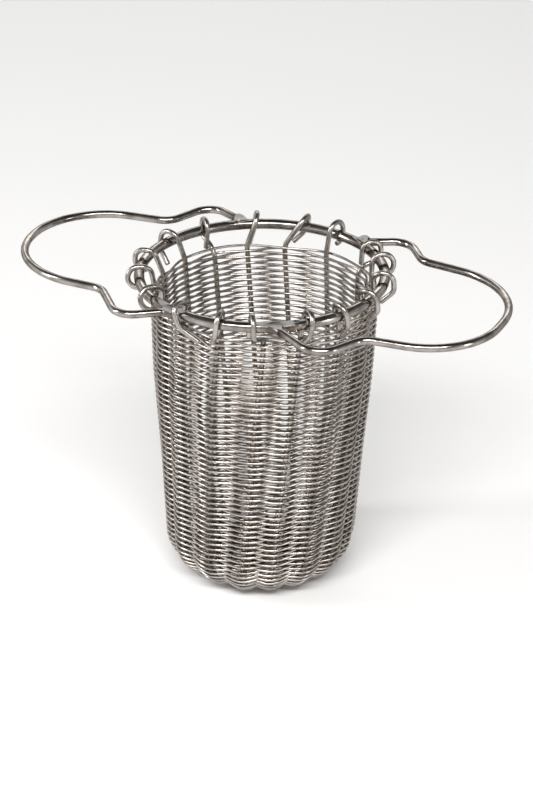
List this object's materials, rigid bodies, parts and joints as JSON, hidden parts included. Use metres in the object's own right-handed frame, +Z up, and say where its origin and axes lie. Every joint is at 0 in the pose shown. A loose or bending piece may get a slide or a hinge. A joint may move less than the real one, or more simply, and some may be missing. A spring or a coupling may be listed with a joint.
{
  "type": "basket strainer",
  "caption": "Deep round-bottomed strainer basket of woven stainless wire, hooked over a heavy rim ring with a loop handle welded to each side.",
  "frame": {"origin": "on the surface the basket stands on, under the centre of its base", "axes": "+Z up, +X along the handles' common axis to the right handle, +Y to the back"},
  "size_m": [0.2919, 0.1582, 0.1965],
  "materials": {
    "rim_steel": "satin",
    "handle_steel": "satin",
    "stake_steel": "satin",
    "weave_steel": "satin",
    "weld_steel": "satin"
  },
  "bodies": {
    "basket": {"stake_wire_1": "stake_steel", "stake_wire_2": "stake_steel", "stake_wire_3": "stake_steel", "stake_wire_4": "stake_steel", "stake_wire_5": "stake_steel", "stake_wire_6": "stake_steel", "stake_wire_7": "stake_steel", "stake_wire_8": "stake_steel", "half_stake_wire": "stake_steel", "base_weave": "weave_steel", "lower_wall_weave": "weave_steel", "middle_wall_weave": "weave_steel", "upper_wall_weave": "weave_steel"},
    "rim": {"rim_ring": "rim_steel", "right_handle": "handle_steel", "left_handle": "handle_steel", "right_handle_weld_a": "weld_steel", "right_handle_weld_b": "weld_steel", "left_handle_weld_a": "weld_steel", "left_handle_weld_b": "weld_steel", "ring_butt_weld": "weld_steel"}
  },
  "joints": [
    {"name": "rim_lift", "type": "slide", "parent": "basket", "child": "rim", "axis": [0, 0, 1], "range_m": [0, 0.0015]}
  ]
}
